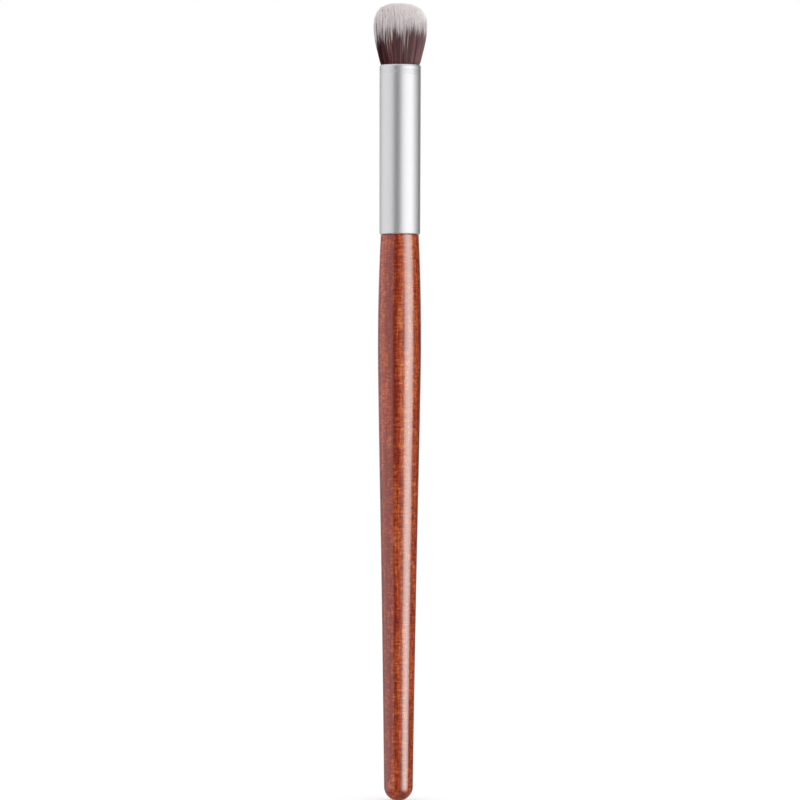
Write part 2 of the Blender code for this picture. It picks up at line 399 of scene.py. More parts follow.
def place(piece, slot, *nodes):
    """Puts a finished piece on the brush's one body, in place of CAD nodes."""
    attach(piece, BODY)
    if nodes:
        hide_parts(*nodes)


def new_material(name):
    """A material with its node tree and its shader."""
    material = bpy.data.materials.new(name)
    material.use_nodes = True
    return material, material.node_tree, material.node_tree.nodes["Principled BSDF"]


def place_in_mm(tree):
    """The place on the piece, in millimetres."""
    metres = add(tree, "ShaderNodeTexCoord").outputs["Object"]
    return add(tree, "ShaderNodeVectorMath", {0: metres, "Scale": MM_PER_METRE}, operation="SCALE")


def stretched_noise(tree, place_mm, size, detail):
    """Noise with patches of the given size in millimetres along X, Y and Z."""
    vector = add(tree, "ShaderNodeVectorMath", {0: place_mm, 1: size}, operation="DIVIDE")
    return add(tree, "ShaderNodeTexNoise", {"Vector": vector, "Scale": 1.0, "Detail": detail})


def lacquered_wood(wood):
    """Close-grained hardwood, stained red-brown and brush-lacquered.

    The stain gathers in the pores and the late wood, and the ripple of the fibres shows as faint bars across
    the grain. The lacquer lies over it as a smooth, glossy coat.
    """
    material, tree, shader = new_material("stained_lacquered_hardwood")
    place_mm = place_in_mm(tree)

    # The grain bends slowly along the stick
    bend = stretched_noise(tree, place_mm, BEND_SIZE, 1)
    bent = add(tree, "ShaderNodeVectorMath", {
        0: bend.outputs["Color"], 1: BEND, 2: place_mm}, operation="MULTIPLY_ADD")
    # Years' rings, round a heart that lies well outside the stick
    rings = add(tree, "ShaderNodeTexWave", {
        "Vector": add(tree, "ShaderNodeMapping", {"Vector": bent, "Location": FROM_HEART}),
        "Scale": WAVE_LENGTH / (wood.ring_width * MM_PER_METRE), "Distortion": 1.0, "Detail": 2.0,
        "Detail Scale": 0.6, "Phase Offset": 3.0,
    }, wave_type="RINGS", rings_direction="Z", wave_profile="SIN")
    pore_width = wood.pore_width * MM_PER_METRE
    pore_length = wood.pore_length * MM_PER_METRE
    ripple_width = wood.ripple_width * MM_PER_METRE
    mark_width = MARK_WIDTH * pore_width
    fibres = stretched_noise(tree, bent, (mark_width, mark_width, pore_length), 2)
    streaks = stretched_noise(tree, bent, STREAK_SIZE, 2)
    mottle = stretched_noise(tree, place_mm, MOTTLE_SIZE, 2)
    ripple = stretched_noise(tree, place_mm, (RIPPLE_LENGTH, RIPPLE_LENGTH, ripple_width), 1)
    flecks = stretched_noise(tree, place_mm, FLECK_SIZE, 1)
    pores = stretched_noise(tree, bent, (pore_width, pore_width, PORE_STRETCH * pore_length), 1)

    tone = TONE_START
    for pattern, weight in (
        (rings.outputs["Fac"], 0.30), (fibres, 0.80), (streaks, 0.78), (mottle, 0.20), (ripple, 0.90),
    ):
        tone = add(tree, MATH, {0: pattern, 1: weight, 2: tone}, operation="MULTIPLY_ADD")
    stain = add(tree, "ShaderNodeValToRGB", {"Fac": tone})
    set_stops(stain, [(0.26, wood.dark), (0.50, wood.middle), (0.68, wood.light), (0.90, wood.amber)])
    colour = stain.outputs["Color"]
    glint = add(tree, MATH, {0: mottle, 1: flecks}, operation="MULTIPLY")
    for pattern, (start, end, most), added in ((glint, GLINTS, wood.amber), (pores, PORES, wood.dark)):
        share = add(tree, "ShaderNodeMapRange", {
            "Value": pattern, "From Min": start, "From Max": end, "To Max": most,
        }, interpolation_type="SMOOTHSTEP")
        mixed = add(tree, "ShaderNodeMix", {0: share, 6: colour, 7: (*added, 1)}, data_type="RGBA")
        colour = mixed.outputs[2]

    # Turning leaves the lacquer very slightly wavy, and the ripple of the wood just shows through
    wave = stretched_noise(tree, place_mm, LACQUER_WAVE_SIZE, 1)
    for pattern in (ripple, fibres):
        wave = add(tree, MATH, {0: pattern, 1: SHOW_THROUGH, 2: wave}, operation="MULTIPLY_ADD")
    bump = add(tree, "ShaderNodeBump", {"Height": wave, "Strength": 1.0, "Distance": WAVE_DEPTH})
    # Wood that lacquer has soaked has no gloss of its own
    fill(shader, {"Base Color": colour, "Roughness": 0.6, "Specular IOR Level": 0.0})
    fill(shader, {
        "Coat Weight": 1.0, "Coat Roughness": wood.lacquer_roughness, "Coat IOR": 1.6, "Coat Normal": bump})
    return material


def satin_aluminium(metal):
    """Drawn aluminium tube, etched and clear anodised: an even, silky metal with faint lines round it."""
    material, tree, shader = new_material("satin_anodised_aluminium")
    place_mm = place_in_mm(tree)
    line_size = (LINE_LENGTH, LINE_LENGTH, metal.line_width * MM_PER_METRE)
    lines = stretched_noise(tree, place_mm, line_size, 2)
    bump = add(tree, "ShaderNodeBump", {"Height": lines, "Strength": 1.0, "Distance": LINE_DEPTH})
    rough = add(tree, "ShaderNodeMapRange", {
        "Value": lines,
        "To Min": metal.roughness - LINE_ROUGHNESS, "To Max": metal.roughness + LINE_ROUGHNESS})
    fill(shader, {"Base Color": (*metal.colour, 1), "Metallic": 1.0, "Roughness": rough, "Normal": bump})
    return material


def tapered_fibre(bristle):
    """Nylon fibre, dyed in the mass and bleached at the tip.

    Each fibre's map gives its own tone across and how far it is bleached upwards.
    """
    material, tree, shader = new_material("dip_dyed_nylon_fibre")
    parts = add(tree, "ShaderNodeSeparateXYZ", {0: add(tree, "ShaderNodeUVMap", uv_map=FIBRE_MAP)})
    dyed = add(tree, "ShaderNodeMix", {
        0: parts.outputs["X"], 6: (*bristle.dark, 1), 7: (*bristle.brown, 1)}, data_type="RGBA")
    pale = add(tree, "ShaderNodeMix", {
        0: parts.outputs["X"], 6: (*bristle.grey, 1), 7: (*bristle.white, 1)}, data_type="RGBA")
    colour = add(tree, "ShaderNodeMix", {
        0: parts.outputs["Y"], 6: dyed.outputs[2], 7: pale.outputs[2]}, data_type="RGBA")
    fill(shader, {"Base Color": colour.outputs[2], "Roughness": 0.45, "IOR": 1.53})
    return material


def cast_resin(name, hex_colour, roughness):
    """Set adhesive: cloudy, glossy, and a little uneven where it was poured."""
    material, tree, shader = new_material(name)
    place_mm = place_in_mm(tree)
    cloud = stretched_noise(tree, place_mm, CLOUD_SIZES, 2)
    body = linear(hex_colour)
    thin = [channel * THIN_PLACES for channel in body]
    colour = add(tree, "ShaderNodeMix", {0: cloud, 6: (*thin, 1), 7: (*body, 1)}, data_type="RGBA")
    fill(shader, {"Base Color": colour.outputs[2], "Roughness": roughness})
    return material


class BRUSH_OT_handle(bpy.types.Operator):
    """Turn the wooden handle, with its tenon"""

    bl_idname = "brush.handle"
    bl_label = "Handle"

    def execute(self, context):
        outline = fine_outline(cad_outline("handle"), ring=False)
        handle = turned(HANDLE, outline, lacquered_wood(context.scene.brush_wood))
        place(handle, "lacquered_wood", "handle")
        return {"FINISHED"}


class BRUSH_OT_ferrule(bpy.types.Operator):
    """Draw the aluminium tube, with fine grooves below its lip"""

    bl_idname = "brush.ferrule"
    bl_label = "Ferrule"

    def execute(self, context):
        metal = context.scene.brush_metal
        outline = fine_outline(cad_outline("ferrule"), ring=True)
        outline = with_grooves(outline, metal)
        tube = turned("drawn_ferrule", outline, satin_aluminium(metal), ring=True)
        place(tube, "satin_aluminium", "ferrule")
        return {"FINISHED"}


# A step of the ferrule's outline is on its outer side if it stays outside this share of the largest radius
OUTER_SIDE = 0.96
# A groove from top to bottom: heights as shares of its width, and depths as shares of its depth
GROOVE_SECTION = ((0.9, 0), (0.5, 0), (0.22, 0.8), (0, 1), (-0.22, 0.8), (-0.5, 0), (-0.9, 0))


def with_grooves(outline, metal):
    """The ferrule's outline with shallow grooves cut into its outer side, just below the rounded lip."""
    count = len(outline)
    spans = [(i, (i + 1) % count) for i in range(count)]

    def outer_length(span):
        (r0, z0), (r1, z1) = outline[span[0]], outline[span[1]]
        return abs(z1 - z0) if min(r0, r1) > max(r for r, _ in outline) * OUTER_SIDE else 0

    first, last = max(spans, key=outer_length)
    (r0, z0), (r1, z1) = outline[first], outline[last]
    top = max(z0, z1)
    cut = []
    for number in range(metal.groove_count):
        middle = top - metal.groove_pitch * (number + 1)
        for offset, depth in GROOVE_SECTION:
            height = middle + offset * metal.groove_width
            share = (height - z0) / (z1 - z0)
            cut.append((r0 + share * (r1 - r0) - depth * metal.groove_depth, height))
    if z0 < z1:
        cut.reverse()
    return outline[:first + 1] + cut + outline[first + 1:]


FIBRE_MAP = "fibre_tone"
FIBRE_SIDES = 3
FIBRE_POINTS = 10
# Neighbouring fibres share a streak and a strand. How many of each fit across a clump
STREAKS_PER_CLUMP = 2.6
STRANDS_PER_CLUMP = 4.5
# How much of a fibre's tone is its own, its streak's and its strand's. The power makes pale ones rare
OWN_TONE = 0.15
STREAK_TONE = 0.25
STRAND_TONE = 0.60
TONE_POWER = 2.5
# Share of the strands that are pale below the others' dye line, by how much of its height at most, and how
# much longer a stretch they fade over
PALE_SHARE = 0.075
PALE_DIP = 0.48
PALE_BLEND = 0.0030
# How far the dye line wavers from fibre to fibre
FIBRE_SCATTER = 0.0010
# Powers keep short fibres and spikes of dye rare, the droop at the sides, and taper and drift at the tips
SHORT_POWER = 2
SPIKE_POWER = 5
DROOP_POWER = 4
TAPER_POWER = 3
DRIFT_POWER = 2
# How closely a fibre's points stand near the mouth, as a power: at least, and how much more at most
LEAST_CROWDING = 1.1
MORE_CROWDING = 0.5
# How late the fibres start to lean to their clump, and how much thinner their tips are
PULL_POWER = 1.3
TIP_THINNING = 0.62
# On a fibre's map: where the darkest tone lies, how far the tones reach, and how far apart its sides lie
MAP_START = 0.04
MAP_TONES = 0.92
MAP_SIDES = 0.03
# The fibres' axes may reach this far past the CAD tuft's radius, and end this far below its top
TUFT_MARGIN = 0.0001
# The slice of resin at the root is thinner than this
SLICE_LIMIT = 0.002
BUNDLES = ("bristles_inner", "bristles_middle", "bristles_outer")
GOLDEN_ANGLE = math.pi * (3 - math.sqrt(5))
# The dome is a superellipse, a little squarer than a ball's 2
DOME_POWER = 2.8
# The tuft's outline from the ferrule's mouth up: height against the tuft's, and radius against its belly's
OUTLINE_SHARES = (
    (0, 0.710), (0.04, 0.752), (0.16, 0.820), (0.35, 0.925),
    (0.50, 0.98), (0.64, 1), (0.82, 0.985), (1, 0.95))
# The tuft's settings that its node tree takes, by their names there
TUFT_SETTINGS = (
    "Belly height", "Fibre radius", "Clump size", "Clump pull", "Stray", "Tip scatter", "Tip drift",
    "Dye height", "Dye scatter", "Dye tilt", "Dye droop", "Dye blend", "Dye spikes", "Dome lean")


def patch_chances(tree, spot, scale, fineness):
    """Three chances for each patch of the disc. Patches are finer than the scale's by the given number."""
    scale = add(tree, MATH, {0: scale, 1: fineness}, operation="MULTIPLY")
    patch = add(tree, "ShaderNodeTexVoronoi", {
        "Vector": spot, "Scale": scale}, voronoi_dimensions="2D", feature="F1")
    return add(tree, "ShaderNodeSeparateXYZ", {0: patch.outputs["Color"]}).outputs


def powered(tree, share, power, most):
    """The share raised to the power, times the most that it can give."""
    raised = add(tree, MATH, {0: share, 1: power}, operation="POWER")
    return add(tree, MATH, {0: raised, 1: most}, operation="MULTIPLY")


def bristle_tree(material):
    """A bundle of fibres: curves that fan out from a round root to a domed top, made into tapered tubes."""
    tree = bpy.data.node_groups.new("bristle_bundle", "GeometryNodeTree")
    for kind, names in (
        ("NodeSocketInt", ("First", "Count", "Total")),
        ("NodeSocketFloat", ("Root depth", "Mouth height", "Belly radius", "Dome height", *TUFT_SETTINGS)),
    ):
        for name in names:
            tree.interface.new_socket(name=name, in_out="INPUT", socket_type=kind)
    tree.interface.new_socket(name="Geometry", in_out="OUTPUT", socket_type="NodeSocketGeometry")
    given = add(tree, "NodeGroupInput").outputs

    # One straight curve for each fibre, numbered on from the first
    stub = add(tree, "GeometryNodeResampleCurve", {
        "Curve": add(tree, "GeometryNodeCurvePrimitiveLine"), "Count": FIBRE_POINTS})
    stubs = add(tree, "GeometryNodeInstanceOnPoints", {
        "Points": add(tree, "GeometryNodePoints", {"Count": given["Count"]}), "Instance": stub})
    number = add(tree, MATH, {0: add(tree, "GeometryNodeInputIndex"), 1: given["First"]})
    numbered = add(tree, "GeometryNodeStoreNamedAttribute", {
        "Geometry": stubs, "Name": "fibre", "Value": number}, data_type="INT", domain="INSTANCE")
    curves = add(tree, "GeometryNodeRealizeInstances", {"Geometry": numbered})
    fibre = add(tree, "GeometryNodeInputNamedAttribute", {"Name": "fibre"}, data_type="INT")

    # Where the fibre stands, as a place in a disc of radius 1: a sunflower spiral, a little shaken
    share = add(tree, MATH, {
        0: add(tree, MATH, {0: fibre, 1: 0.5}), 1: given["Total"]}, operation="DIVIDE")
    out = add(tree, MATH, {0: share}, operation="SQRT")
    turn = add(tree, MATH, {0: fibre, 1: GOLDEN_ANGLE}, operation="MULTIPLY")
    spot = add(tree, "ShaderNodeCombineXYZ", {
        0: add(tree, MATH, {0: turn}, operation="COSINE"),
        1: add(tree, MATH, {0: turn}, operation="SINE")})
    spot = add(tree, "ShaderNodeVectorMath", {0: spot, "Scale": out}, operation="SCALE")
    chance = add(tree, "FunctionNodeRandomValue", {"ID": fibre, "Seed": 1}, data_type="FLOAT_VECTOR")
    chances = add(tree, "ShaderNodeSeparateXYZ", {0: chance}).outputs
    lean = add(tree, "FunctionNodeRandomValue", {
        0: (-1, -1, 0), 1: (1, 1, 0), "ID": fibre, "Seed": 2}, data_type="FLOAT_VECTOR")

    # Clumps: fibres near each other share one, and lean to its middle
    clump_share = add(tree, MATH, {0: given["Belly radius"], 1: given["Clump size"]}, operation="DIVIDE")
    clump = add(tree, "ShaderNodeTexVoronoi", {
        "Vector": spot, "Scale": clump_share}, voronoi_dimensions="2D", feature="F1")

    # Height along the fibre: its first point is the root, its second lies in the ferrule's mouth
    step = add(tree, "GeometryNodeSplineParameter").outputs["Index"]
    below = add(tree, MATH, {0: 1, 1: step}, operation="SUBTRACT", use_clamp=True)
    above = add(tree, MATH, {
        0: add(tree, MATH, {0: step, 1: 1}, operation="SUBTRACT"), 1: FIBRE_POINTS - 2,
    }, operation="DIVIDE", use_clamp=True)
    hollow = add(tree, MATH, {0: out, 1: DOME_POWER}, operation="POWER")
    hollow = add(tree, MATH, {0: 1, 1: hollow}, operation="SUBTRACT", use_clamp=True)
    hollow = add(tree, MATH, {0: hollow, 1: 1 / DOME_POWER}, operation="POWER")
    belly = given["Belly height"]
    crown = add(tree, MATH, {0: given["Dome height"], 1: belly}, operation="SUBTRACT")
    tip = add(tree, MATH, {0: hollow, 1: crown, 2: belly}, operation="MULTIPLY_ADD")
    short = powered(tree, chances["X"], SHORT_POWER, given["Tip scatter"])
    tip = add(tree, MATH, {0: tip, 1: short}, operation="SUBTRACT")
    across = add(tree, "ShaderNodeSeparateXYZ", {0: spot}).outputs["X"]
    leant = add(tree, MATH, {0: across, 1: given["Dome lean"]}, operation="MULTIPLY")
    tip = add(tree, MATH, {0: tip, 1: leant}, operation="SUBTRACT")
    # Points stand closer near the mouth, where the fibres bend, and not at one height all round
    crowding = add(tree, MATH, {
        0: chances["X"], 1: MORE_CROWDING, 2: LEAST_CROWDING}, operation="MULTIPLY_ADD")
    height = add(tree, MATH, {0: above, 1: crowding}, operation="POWER")
    height = add(tree, MATH, {0: height, 1: tip}, operation="MULTIPLY")
    rise = add(tree, MATH, {0: height, 1: given["Dome height"]}, operation="DIVIDE", use_clamp=True)

    # The fan: every place in the disc, times the outline's radius at that height
    outline = add(tree, "ShaderNodeFloatCurve", {"Value": rise})
    set_curve(outline, OUTLINE_SHARES)
    radius = add(tree, MATH, {0: outline, 1: given["Belly radius"]}, operation="MULTIPLY")
    pull = powered(tree, rise, PULL_POWER, given["Clump pull"])
    gathered = add(tree, "ShaderNodeMix", {
        0: pull, 4: spot, 5: clump.outputs["Position"]}, data_type="VECTOR")
    stray = add(tree, MATH, {0: rise, 1: rise}, operation="MULTIPLY")
    stray = add(tree, MATH, {0: stray, 1: given["Stray"]}, operation="MULTIPLY")
    strayed = add(tree, "ShaderNodeVectorMath", {0: lean, "Scale": stray}, operation="SCALE")
    strayed = add(tree, "ShaderNodeVectorMath", {0: strayed, 1: gathered.outputs[1]})
    strayed = add(tree, "ShaderNodeVectorMath", {0: strayed, "Scale": radius}, operation="SCALE")
    sunk = add(tree, MATH, {0: below, 1: given["Root depth"]}, operation="MULTIPLY")
    level = add(tree, MATH, {0: given["Mouth height"], 1: sunk}, operation="SUBTRACT")
    level = add(tree, MATH, {0: level, 1: height})
    drift = powered(tree, rise, DRIFT_POWER, given["Tip drift"])
    lifted = add(tree, "ShaderNodeCombineXYZ", {0: drift, 2: level})
    spread = add(tree, "GeometryNodeSetPosition", {
        "Geometry": curves, "Position": add(tree, "ShaderNodeVectorMath", {0: strayed, 1: lifted})})

    # Colour: the height at which the dye ends, by streak and fibre
    streak = patch_chances(tree, spot, clump_share, STREAKS_PER_CLUMP)
    strand = patch_chances(tree, spot, clump_share, STRANDS_PER_CLUMP)
    dye = add(tree, MATH, {0: streak["Z"], 1: 0.5}, operation="SUBTRACT")
    dye = add(tree, MATH, {
        0: dye, 1: given["Dye scatter"], 2: given["Dye height"]}, operation="MULTIPLY_ADD")
    dye = add(tree, MATH, {0: across, 1: given["Dye tilt"], 2: dye}, operation="MULTIPLY_ADD")
    droop = powered(tree, across, DROOP_POWER, given["Dye droop"])
    dye = add(tree, MATH, {0: dye, 1: droop}, operation="SUBTRACT")
    dye = add(tree, MATH, {0: chances["X"], 1: FIBRE_SCATTER, 2: dye}, operation="MULTIPLY_ADD")
    spike = add(tree, MATH, {0: chances["Y"], 1: SPIKE_POWER}, operation="POWER")
    dye = add(tree, MATH, {0: spike, 1: given["Dye spikes"], 2: dye}, operation="MULTIPLY_ADD")
    # A few strands took the dye less far up
    pale = add(tree, MATH, {0: strand["Z"], 1: PALE_SHARE}, operation="LESS_THAN")
    dip = add(tree, MATH, {0: pale, 1: chances["Z"]}, operation="MULTIPLY")
    dip = add(tree, MATH, {0: dip, 1: -PALE_DIP, 2: 1}, operation="MULTIPLY_ADD")
    dye = add(tree, MATH, {0: dye, 1: dip}, operation="MULTIPLY")
    blend = add(tree, MATH, {0: pale, 1: PALE_BLEND, 2: given["Dye blend"]}, operation="MULTIPLY_ADD")
    bleach = add(tree, MATH, {0: height, 1: dye}, operation="SUBTRACT")
    bleach = add(tree, MATH, {0: bleach, 1: blend}, operation="DIVIDE")
    bleach = add(tree, "ShaderNodeMapRange", {
        "Value": bleach, "From Min": -0.5, "From Max": 0.5}, interpolation_type="SMOOTHSTEP")

    # The tone, from dark to light
    tone = 0.0
    for chance, weight in ((chances["X"], OWN_TONE), (streak["Y"], STREAK_TONE), (strand["X"], STRAND_TONE)):
        tone = add(tree, MATH, {0: chance, 1: weight, 2: tone}, operation="MULTIPLY_ADD")
    tone = add(tree, MATH, {0: tone, 1: TONE_POWER}, operation="POWER")
    toned = spread
    for name, value in (("tone", tone), ("bleach", bleach)):
        toned = add(tree, "GeometryNodeStoreNamedAttribute", {
            "Geometry": toned, "Name": name, "Value": value}, data_type="FLOAT", domain="POINT")

    # Tubes that taper over their upper half
    thin = add(tree, MATH, {0: above, 1: TAPER_POWER}, operation="POWER")
    thin = add(tree, MATH, {0: thin, 1: -TIP_THINNING, 2: 1}, operation="MULTIPLY_ADD")
    thin = add(tree, MATH, {0: thin, 1: given["Fibre radius"]}, operation="MULTIPLY")
    tubes = add(tree, "GeometryNodeCurveToMesh", {
        "Curve": toned,
        "Profile Curve": add(tree, "GeometryNodeCurvePrimitiveCircle", {
            "Resolution": FIBRE_SIDES, "Radius": 1}),
        "Scale": thin, "Fill Caps": True})
    # Each side of a fibre has a place of its own across the map, so that a face has an area on it
    shown = add(tree, "GeometryNodeInputNamedAttribute", {"Name": "tone"}, data_type="FLOAT")
    side = add(tree, "ShaderNodeSeparateXYZ", {0: add(tree, "GeometryNodeInputNormal")}).outputs["X"]
    side = add(tree, MATH, {0: side, 1: MAP_SIDES, 2: MAP_START}, operation="MULTIPLY_ADD")
    width = add(tree, MATH, {0: shown, 1: MAP_TONES, 2: side}, operation="MULTIPLY_ADD")
    mapped = add(tree, "GeometryNodeStoreNamedAttribute", {
        "Geometry": tubes, "Name": FIBRE_MAP,
        "Value": add(tree, "ShaderNodeCombineXYZ", {
            0: width,
            1: add(tree, "GeometryNodeInputNamedAttribute", {"Name": "bleach"}, data_type="FLOAT")}),
    }, data_type="FLOAT2", domain="CORNER")
    flat = add(tree, "GeometryNodeSetShadeSmooth", {"Geometry": mapped, "Shade Smooth": False})
    single = add(tree, "GeometryNodeRealizeInstances", {"Geometry": flat})
    dressed = add(tree, "GeometryNodeSetMaterial", {"Geometry": single, "Material": material})
    add(tree, "NodeGroupOutput", {"Geometry": dressed})
    return tree


def bristle_bundle(name, tree, values):
    """The tree's result as a plain mesh. values are its inputs by name."""
    obj = new_object(name, bpy.data.meshes.new(name))
    grow = obj.modifiers.new("Grow", "NODES")
    grow.node_group = tree
    for item in tree.interface.items_tree:
        if item.in_out == "INPUT":
            grow[item.identifier] = values[item.name]
    apply_modifiers(obj)
    for attribute in ("fibre", "tone", "bleach"):
        found = obj.data.attributes.get(attribute)
        if found:
            obj.data.attributes.remove(found)
    return obj


class BRUSH_OT_bristles(bpy.types.Operator):
    """Grow the tuft in three bundles, on the slice of resin that holds its roots"""

    bl_idname = "brush.bristles"
    bl_label = "Bristles"

    def execute(self, context):
        bristle = context.scene.brush_bristles
        low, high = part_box("bristle_tuft")
        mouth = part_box("ferrule")[1].z
        slice_radius, slice_top = root_slice_size()
        material = tapered_fibre(bristle)
        tree = bristle_tree(material)
        total = bristle.count
        values = {name: getattr(bristle, name.lower().replace(" ", "_")) for name in TUFT_SETTINGS}
        values.update({
            "Total": total,
            "Root depth": mouth - slice_top,
            "Mouth height": mouth,
            "Belly radius": min(high.x, high.y) + TUFT_MARGIN,
            "Dome height": high.z - mouth - TUFT_MARGIN,
        })
        for number, name in enumerate(BUNDLES):
            first = total * number // len(BUNDLES)
            last = total * (number + 1) // len(BUNDLES)
            bundle = bristle_bundle(name, tree, {**values, "First": first, "Count": last - first})
            place(bundle, "bristles", "bristle_tuft")
        disc = [(0, slice_top), (slice_radius, slice_top), (slice_radius, low.z), (0, low.z)]
        root = turned("bristle_root", disc, cast_resin("root_resin", "#8A6A44", 0.35))
        place(root, "bristles", "bristle_tuft")
        return {"FINISHED"}


def root_slice_size():
    """Radius and top height of the slice that the CAD tuft's strands stand on."""
    points = [vert.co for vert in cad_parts["bristle_tuft"].data.vertices]
    foot = min(point.z for point in points)
    radius = max(point.xy.length for point in points if point.z < foot + SAME_POINT)
    rim = [point.z for point in points if point.xy.length > radius - SAME_POINT]
    top = max(height for height in rim if height < foot + SLICE_LIMIT)
    return radius, top


class BRUSH_OT_adhesives(bpy.types.Operator):
    """Give the plug of resin and the glue in the ferrule their finishes"""

    bl_idname = "brush.adhesives"
    bl_label = "Adhesives"

    def execute(self, context):
        for node, finish in (
            ("resin_plug", cast_resin("cast_epoxy", "#94754F", 0.35)),
            ("tenon_glue", cast_resin("cured_wood_glue", "#CCC4A8", 0.3)),
        ):
            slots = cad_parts[node].data.materials
            slots.clear()
            slots.append(finish)
        return {"FINISHED"}


class BRUSH_OT_stage(bpy.types.Operator):
    """Set up the white room, the floor, the softboxes, the grey cards and the camera"""

    bl_idname = "brush.stage"
    bl_label = "Stage"

    def execute(self, context):
        stage = context.scene.brush_stage
        middle = (CAD_BOX[0][2] + CAD_BOX[1][2]) / 2
        white_room(stage)
        white_floor()
        softboxes(stage, middle)
        for name, shade, start, end in CARDS:
            grey_card(name, shade, upright_rows(middle, start, end))
        shade, depth, half = LOW_CARD
        grey_card("low_card", shade, level_rows(-depth, half))
        camera(context.scene, stage)
        context.scene.view_settings.view_transform = "Standard"
        return {"FINISHED"}


# Softboxes, in degrees round the brush from the camera: left edge, the side that they aim from, right edge,
# and how widely they shine. Behind a net the key is wider
KEY = (26, 52, 77, 84)
NETTED_KEY = (-1, 66, 118, 150)
FILL = (-118, -80, -38, 180)
WHITE = (1, 1, 1)
# The key's streak in the lacquer is a very slightly green white
KEY_TINT = (0.95, 1, 0.92)
LAMP_DISTANCE = 0.5
LAMP_HEIGHT = 0.46
# The softbox in the lacquer reaches far below the brush, so that its streak runs out over the round end
LACQUER_LAMP_HEIGHT = 0.96
# Grey cards round the brush: name, lightness, and where the left and right edges stand
CARDS = (("camera_side_card", 0.10, -35, 6), ("right_card", 0.14, 84, 154), ("left_card", 0.55, -178, -127))
CARD_DISTANCE = 1.3
CARD_HALF_HEIGHT = 1.0
CARD_STEPS = 8
# Another card lies far below the brush: its lightness, depth and half width
LOW_CARD = (0.50, 0.6, 1.0)
# The floor's half width, its lightness, and how much light of its own it shows
FLOOR_HALF = 3.0
FLOOR_SHADE = 0.82
FLOOR_LIFT = 0.22
# The camera stands this far to the right of the brush's axis, at this height, and is rolled by this
CAMERA_SHIFT = 0.00012
CAMERA_HEIGHT = 0.08283
CAMERA_ROLL = math.radians(-0.14)


def seen_directly(tree):
    """1 where a ray comes from the camera, or from a mirror or a clear body, and else 0."""
    path = add(tree, "ShaderNodeLightPath").outputs
    seen = add(tree, MATH, {0: path["Is Camera Ray"], 1: path["Is Glossy Ray"]}, operation="MAXIMUM")
    return add(tree, MATH, {0: seen, 1: path["Is Transmission Ray"]}, operation="MAXIMUM")


def white_room(stage):
    """A white room all round. Its light on matt surfaces can be set apart from how white it looks."""
    world = bpy.data.worlds.new("white_room")
    bpy.context.scene.world = world
    world.use_nodes = True
    tree = world.node_tree
    tree.nodes.clear()
    room = add(tree, "ShaderNodeBackground", {"Color": (1, 1, 1, 1), "Strength": stage.ambient})
    white = add(tree, "ShaderNodeBackground", {"Color": (1, 1, 1, 1), "Strength": 1.0})
    mixed = add(tree, "ShaderNodeMixShader", {0: seen_directly(tree), 1: room, 2: white})
    add(tree, "ShaderNodeOutputWorld", {"Surface": mixed})


def white_floor():
    """A floor of matt white paper, with no gloss to mirror the brush in.

    It shows a little light of its own, so that it ends in white with the shadow left on it.
    """
    material, tree, shader = new_material("matt_white_paper")
    floor = sheet("floor", level_rows(0, FLOOR_HALF), material)
    lift = add(tree, MATH, {0: seen_directly(tree), 1: FLOOR_LIFT}, operation="MULTIPLY")
    fill(shader, {
        "Base Color": (FLOOR_SHADE, FLOOR_SHADE, FLOOR_SHADE, 1), "Roughness": 1.0,
        "Specular IOR Level": 0.0, "Emission Color": (1, 1, 1, 1), "Emission Strength": lift})
    # Gloss on the brush's foot mirrors the softbox, as if the brush hung free
    floor.visible_glossy = floor.visible_shadow = False


def from_azimuth(degrees, distance, height):
    """A place round the brush. 0 degrees is the camera's side, and angles grow to the picture's right."""
    angle = math.radians(degrees)
    return Vector((distance * math.sin(angle), -distance * math.cos(angle), height))


def softboxes(stage, height):
    """A tall softbox on the right, and a fill screen on the left that only lacquer mirrors.

    Nets set apart what lacquer mirrors of the softbox, what metal and fibres mirror, and how it lights matt
    surfaces and the tuft.
    """
    meshes = [obj for obj in bpy.context.scene.objects if obj.type == "MESH"]
    lacquer = [obj for obj in meshes if obj.name == HANDLE]
    others = [obj for obj in meshes if obj.name != HANDLE]
    tuft = [obj for obj in meshes if obj.name in BUNDLES]
    solid = [obj for obj in meshes if obj.name not in BUNDLES]
    for name, radiance, angles, receivers, hidden_from, colour, tall in (
        ("key_in_lacquer", stage.key_gloss, KEY, lacquer, "diffuse", KEY_TINT, LACQUER_LAMP_HEIGHT),
        ("key_through_net", stage.key_netted, NETTED_KEY, others, "diffuse", WHITE, LAMP_HEIGHT),
        ("fill_in_lacquer", stage.fill_gloss, FILL, lacquer, "diffuse", WHITE, LAMP_HEIGHT),
        ("key_on_matt", stage.key_diffuse, KEY, solid, "glossy", WHITE, LAMP_HEIGHT),
        ("key_on_tuft", stage.key_on_tuft, KEY, tuft, "glossy", WHITE, LAMP_HEIGHT),
    ):
        lamp = softbox(name, radiance, angles, height, receivers, colour, tall)
        setattr(lamp, "visible_" + hidden_from, False)


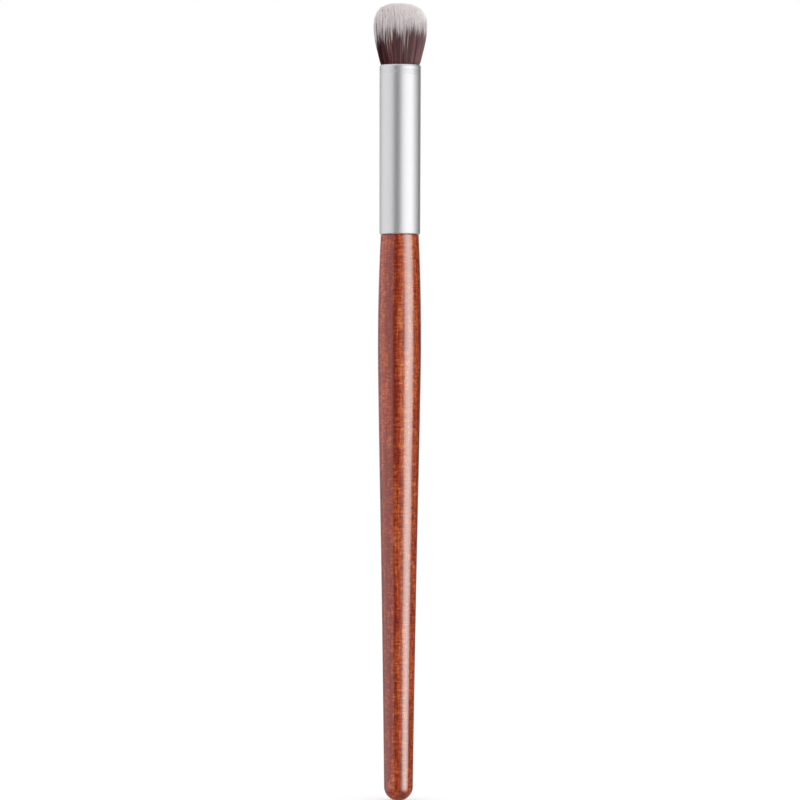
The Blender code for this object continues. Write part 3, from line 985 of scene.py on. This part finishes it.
def softbox(name, radiance, angles, height, receivers, colour, tall):
    """An area lamp that lights only its receivers. Its angles are left edge, aim, right edge and spread."""
    lamp = bpy.data.lights.new(name, "AREA")
    left, aim, right, spread = angles
    near, far = (LAMP_DISTANCE * math.tan(math.radians(edge - aim)) for edge in (left, right))
    lamp.color = colour
    lamp.shape = "RECTANGLE"
    lamp.size, lamp.size_y = far - near, tall
    lamp.spread = math.radians(spread)
    # A lamp's energy for its radiance straight ahead, where the rest of it falls off with the angle
    half = lamp.spread / 2
    narrowed = 1 - half / math.tan(half)
    lamp.energy = radiance * narrowed * math.pi * lamp.size * lamp.size_y
    obj = new_object(name, lamp)
    aimed = from_azimuth(aim, LAMP_DISTANCE, 0)
    sideways = from_azimuth(aim + 90, (near + far) / 2, 0)
    obj.location = aimed + sideways + Vector((0, 0, height))
    obj.rotation_euler = (-aimed).to_track_quat("-Z", "Y").to_euler()
    lit = bpy.data.collections.new(name + "_receivers")
    for receiver in receivers:
        lit.objects.link(receiver)
    obj.light_linking.receiver_collection = lit
    return obj


def upright_rows(height, start, end):
    """Rows of points round the brush from one azimuth to another, for a bent sheet."""
    angles = [start + (end - start) * i / CARD_STEPS for i in range(CARD_STEPS + 1)]
    edges = (height - CARD_HALF_HEIGHT, height + CARD_HALF_HEIGHT)
    return [[from_azimuth(angle, CARD_DISTANCE, edge) for angle in angles] for edge in edges]


def level_rows(height, half):
    """Rows of points for a level square, from its half width."""
    return [[(x, y, height) for x in (-half, half)] for y in (-half, half)]


def sheet(name, rows, material):
    """A sheet of the material between two rows of points."""
    near, far = rows
    count = len(near)
    mesh = bpy.data.meshes.new(name)
    mesh.from_pydata(near + far, [], [(i, i + 1, count + i + 1, count + i) for i in range(count - 1)])
    mesh.materials.append(material)
    return new_object(name, mesh)


def grey_card(name, shade, rows):
    """A sheet of matt grey card. It shows only in gloss, as the room's unlit side."""
    material, _, shader = new_material("grey_card")
    fill(shader, {"Base Color": (shade, shade, shade, 1), "Roughness": 1.0})
    card = sheet(name, rows, material)
    card.visible_camera = card.visible_diffuse = card.visible_shadow = card.visible_transmission = False


def camera(scene, stage):
    """The photograph's view: level, from far off, with a hair of roll."""
    lens = bpy.data.cameras.new("camera")
    lens.lens = lens.sensor_width * stage.camera_distance / stage.view_height
    obj = new_object("camera", lens)
    obj.location = (CAMERA_SHIFT, -stage.camera_distance, CAMERA_HEIGHT)
    obj.rotation_euler = (math.radians(90), CAMERA_ROLL, 0)
    scene.camera = obj


class BRUSH_PT_panel(bpy.types.Panel):
    """Sizes, colours and steps of the concealer brush"""

    bl_idname = "BRUSH_PT_panel"
    bl_label = "Concealer brush"
    bl_space_type = "VIEW_3D"
    bl_region_type = "UI"
    bl_category = "Brush"

    def draw(self, context):
        for operator, group in STEPS:
            box = self.layout.box()
            box.operator(operator.bl_idname)
            settings = getattr(context.scene, group, None)
            for name in settings.__annotations__ if settings else ():
                box.prop(settings, name)


GROUPS = {
    "brush_wood": WoodSettings,
    "brush_metal": MetalSettings,
    "brush_bristles": BristleSettings,
    "brush_stage": StageSettings,
}
STEPS = (
    (BRUSH_OT_handle, "brush_wood"),
    (BRUSH_OT_ferrule, "brush_metal"),
    (BRUSH_OT_bristles, "brush_bristles"),
    (BRUSH_OT_adhesives, ""),
    (BRUSH_OT_stage, "brush_stage"),
)


def register():
    for name, group in GROUPS.items():
        bpy.utils.register_class(group)
        setattr(bpy.types.Scene, name, bpy.props.PointerProperty(type=group))
    for operator, _ in STEPS:
        bpy.utils.register_class(operator)
    bpy.utils.register_class(BRUSH_PT_panel)


def unregister():
    bpy.utils.unregister_class(BRUSH_PT_panel)
    for operator, _ in reversed(STEPS):
        bpy.utils.unregister_class(operator)
    for name, group in GROUPS.items():
        delattr(bpy.types.Scene, name)
        bpy.utils.unregister_class(group)


def main():
    register()
    bpy.ops.brush.handle()
    bpy.ops.brush.ferrule()
    bpy.ops.brush.bristles()
    bpy.ops.brush.adhesives()
    bpy.ops.brush.stage()


if __name__ == "__main__":
    main()
